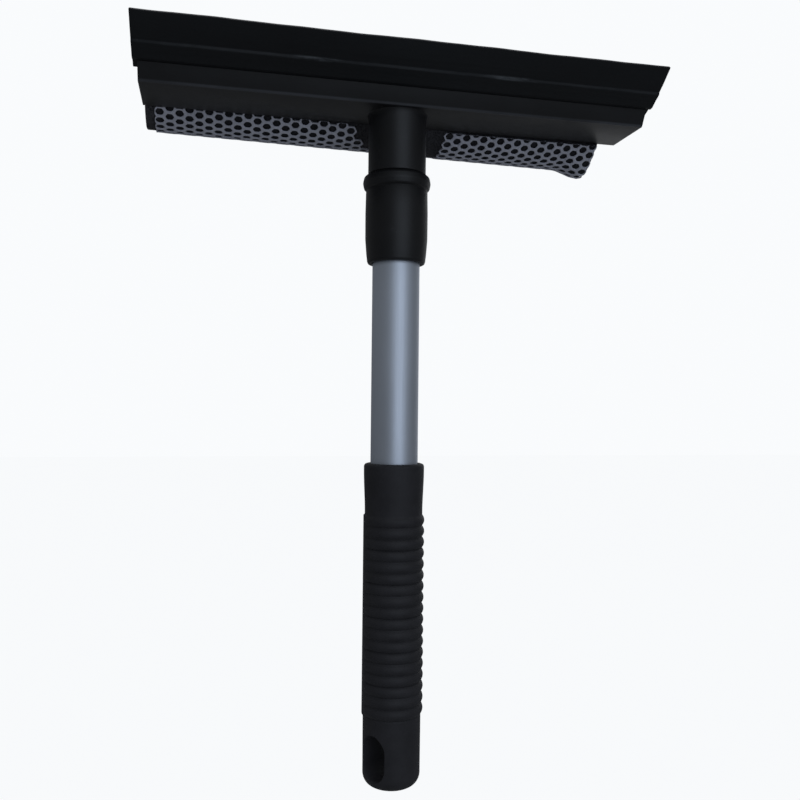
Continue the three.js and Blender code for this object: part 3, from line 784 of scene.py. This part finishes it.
CELL = 5.08
COLUMN = CELL * math.cos(math.radians(30))
NET_COLUMNS = int(round(NET_LENGTH / COLUMN))
SPACING = NET_LENGTH / NET_COLUMNS
HOLE = 1.78  # radius of a hole, which is a hexagon with soft corners


def cell_corner(angle):
    """Distance to the edge of a hexagon with flat top and bottom, one unit to its flats."""
    turn = (angle - math.pi / 2) % (math.pi / 3)
    return 1 / math.cos(min(turn, math.pi / 3 - turn))


def net_cells(length):
    """Middles of the net's cells, as (x, distance along the pad), for cells that the neck's notch leaves."""
    arcs = pad_arcs(NET_FROM, NET_RUN)
    cells = []
    for i in range(NET_COLUMNS):
        x = NET_OFFSET - NET_LENGTH / 2 + (i + 0.5) * SPACING
        rows = int(length / CELL) + 2
        for j in range(-2, rows):
            way = (j + (0.25 if i % 2 else 0.75)) * CELL
            if not first_way(x) - 0.25 * CELL < way < length + 0.25 * CELL:
                continue
            forward, _ = on_path(arcs, min(way, length), 0)
            if way < NOTCH_SIDE * length and in_notch(x, forward):
                continue
            cells.append((x, way))
    return cells


# (share of the way from the hole's edge to the cell's edge, height in the strand's thickness)
STRAND = [(1, 0.96), (0.62, 1.0), (0.3, 0.9), (0.08, 0.66), (0.0, 0.4), (0.1, 0.1), (0.4, 0.0), (1, 0.0)]
CELL_SIDES = 18


def net_surface(px, pw, lift, arcs):
    """A point of the net, from its place on the flat sheet and its height in the strand."""
    out = (lift - 1) * NET_THICKNESS + NET_BITE + flare_at(px, pw)
    return pad_point(px, *on_path(arcs, pw, out))


def make_net():
    """One sheet of round-holed net, cell by cell. Neighbouring cells share edges, and the rim is closed."""
    arcs = pad_arcs(NET_FROM, NET_RUN)
    length = path_length(arcs)
    left, right = NET_OFFSET - NET_LENGTH / 2, NET_OFFSET + NET_LENGTH / 2
    points, faces, shared = [], [], {}
    for x, way in net_cells(length):
        first = len(points)
        edge_points = []
        for share, lift in STRAND:
            for k in range(CELL_SIDES):
                angle = 2 * math.pi * k / CELL_SIDES
                edge = cell_corner(angle) * CELL / 2
                hole = HOLE * (0.55 + 0.45 * cell_corner(angle))
                radius = hole + (edge - hole) * share
                px = min(max(x + radius * math.cos(angle) * SPACING / COLUMN, left), right)
                pw = min(max(way + radius * math.sin(angle), first_way(px)), length)
                edge_points.append((px, pw))
                points.append(net_surface(px, pw, lift, arcs))
        last = first + (len(STRAND) - 1) * CELL_SIDES
        for k in range(CELL_SIDES):
            j = (k + 1) % CELL_SIDES
            for row in range(first, last, CELL_SIDES):
                faces.append((row + k, row + j, row + CELL_SIDES + j, row + CELL_SIDES + k))
            middle = np.add(edge_points[k], edge_points[j])
            key = (round(float(middle[0]), 1), round(float(middle[1]), 1))
            shared.setdefault(key, []).append((first + k, last + k, last + j, first + j))
    faces += [uses[0] for uses in shared.values() if len(uses) == 1]
    net = make_piece("net_sheet", points, faces, "net_grey", "head", "net", sharp=75)
    bm = bmesh.new()
    bm.from_mesh(net.data)
    bmesh.ops.remove_doubles(bm, verts=bm.verts, dist=2e-5)
    bmesh.ops.dissolve_degenerate(bm, edges=bm.edges, dist=1e-5)
    bmesh.ops.recalc_face_normals(bm, faces=bm.faces)
    bm.to_mesh(net.data)
    bm.free()
    net.data.shade_smooth()


FOAM_INSET = 0.75
END_REACH, END_ROUND = 0.6, 0.35  # how the foam's skin turns in at its cut ends
SWELL, SWELL_TOP, SWELL_FOOT = 0.3, 0.6, 2.2  # height in a hole, and the radii where it starts and ends to fall
ROUND_STEPS, LONG_STEPS, CUT_RINGS = 110, 198, 26
EVEN_FROM = 1.6  # from each end, where the even steps along the foam begin
# Grain of the cut ends, as (grains in a metre, height in metres), and how far their middle stands out in metres
COARSE, FINE = (300, 0.0003), (1400, 0.00022)
CUT_BULGE = 0.0004


def make_foam():
    """The foam: its skin swells a little through each hole of the net, and its cut ends are rough."""
    arcs = pad_arcs(FOAM_FROM, FOAM_RUN)
    length = path_length(arcs)
    chord = [from_wall(-0.3, up) for up in np.linspace(23.2, 0.6, 16)]
    half = SPONGE_LENGTH / 2
    ends = [0, 0.15, 0.35, END_REACH]
    middle = np.linspace(-half + EVEN_FROM, half - EVEN_FROM, LONG_STEPS)
    columns = [-half + x for x in ends] + list(middle) + [half - x for x in reversed(ends)]
    points = []
    for x in columns:
        ring = []
        start = first_way(x + SPONGE_OFFSET)
        for way in np.linspace(start, length, ROUND_STEPS + 1):
            edge = min(half - abs(x), END_REACH) / END_REACH
            round_off = END_ROUND * (1 - math.sqrt(max(0, 1 - (1 - edge) ** 2)))
            stand_out = net_press(x + SPONGE_OFFSET, way) + flare_at(x + SPONGE_OFFSET, way)
            out = -FOAM_INSET - round_off + stand_out
            ring.append(on_path(arcs, way, out))
        ring += chord
        points += [pad_point(x + SPONGE_OFFSET, v, z) for v, z in ring]
    count = ROUND_STEPS + 1 + len(chord)
    faces = []
    for i in range(len(columns) - 1):
        a, b = i * count, (i + 1) * count
        faces += [(a + k, a + (k + 1) % count, b + (k + 1) % count, b + k) for k in range(count)]
    for start, side in ((0, -1), ((len(columns) - 1) * count, 1)):
        faces += cut_end(points, start, count, side)
    foam = make_piece("sponge_foam", points, faces, "foam_black", "head", "sponge", sharp=60)


def from_wall(n, e):
    """Side-view point from the wall that carries the pad: n stands out from it, e runs up it."""
    forward = WALL_FOOT + n * math.cos(WALL_TILT) + e * math.sin(WALL_TILT)
    return forward, HEAD_BOTTOM - n * math.sin(WALL_TILT) + e * math.cos(WALL_TILT)


def net_press(x, way):
    """How far the foam stands up in a hole of the net, for a point of its skin."""
    i = math.floor((x - NET_OFFSET + NET_LENGTH / 2) / SPACING)
    if not 0 <= i < NET_COLUMNS:
        return 0.0
    middle = NET_OFFSET - NET_LENGTH / 2 + (i + 0.5) * SPACING
    shift = 0.25 if i % 2 else 0.75
    j = round(way / CELL - shift)
    across = math.hypot(x - middle, way - (j + shift) * CELL)
    return SWELL * float(1 - smooth_step(across, SWELL_TOP, SWELL_FOOT))


def cut_end(points, start, count, side):
    """Closes an end with rings that step inwards. Their points stand in or out a little, as cut foam does."""
    outline = [points[start + k].copy() for k in range(count)]
    middle = sum(outline, Vector()) / count
    previous = [start + k for k in range(count)]
    faces = []
    for step in range(1, CUT_RINGS):
        share = step / CUT_RINGS
        current = []
        for k, point in enumerate(outline):
            place = point.lerp(middle, share)
            rough = sum(noise.noise(place * scale) * height for scale, height in (FINE, COARSE))
            current.append(len(points))
            points.append(place + Vector((side * (rough + CUT_BULGE * min(1, 3 * share)), 0, 0)))
        for k in range(count):
            j = (k + 1) % count
            faces.append((previous[k], previous[j], current[j], current[k]))
        previous = current
    faces.append(previous)
    return faces


make_turnings()
make_grip()
make_blade()
make_head()
make_net()
make_foam()

bpy.context.scene.view_settings.view_transform = "Standard"
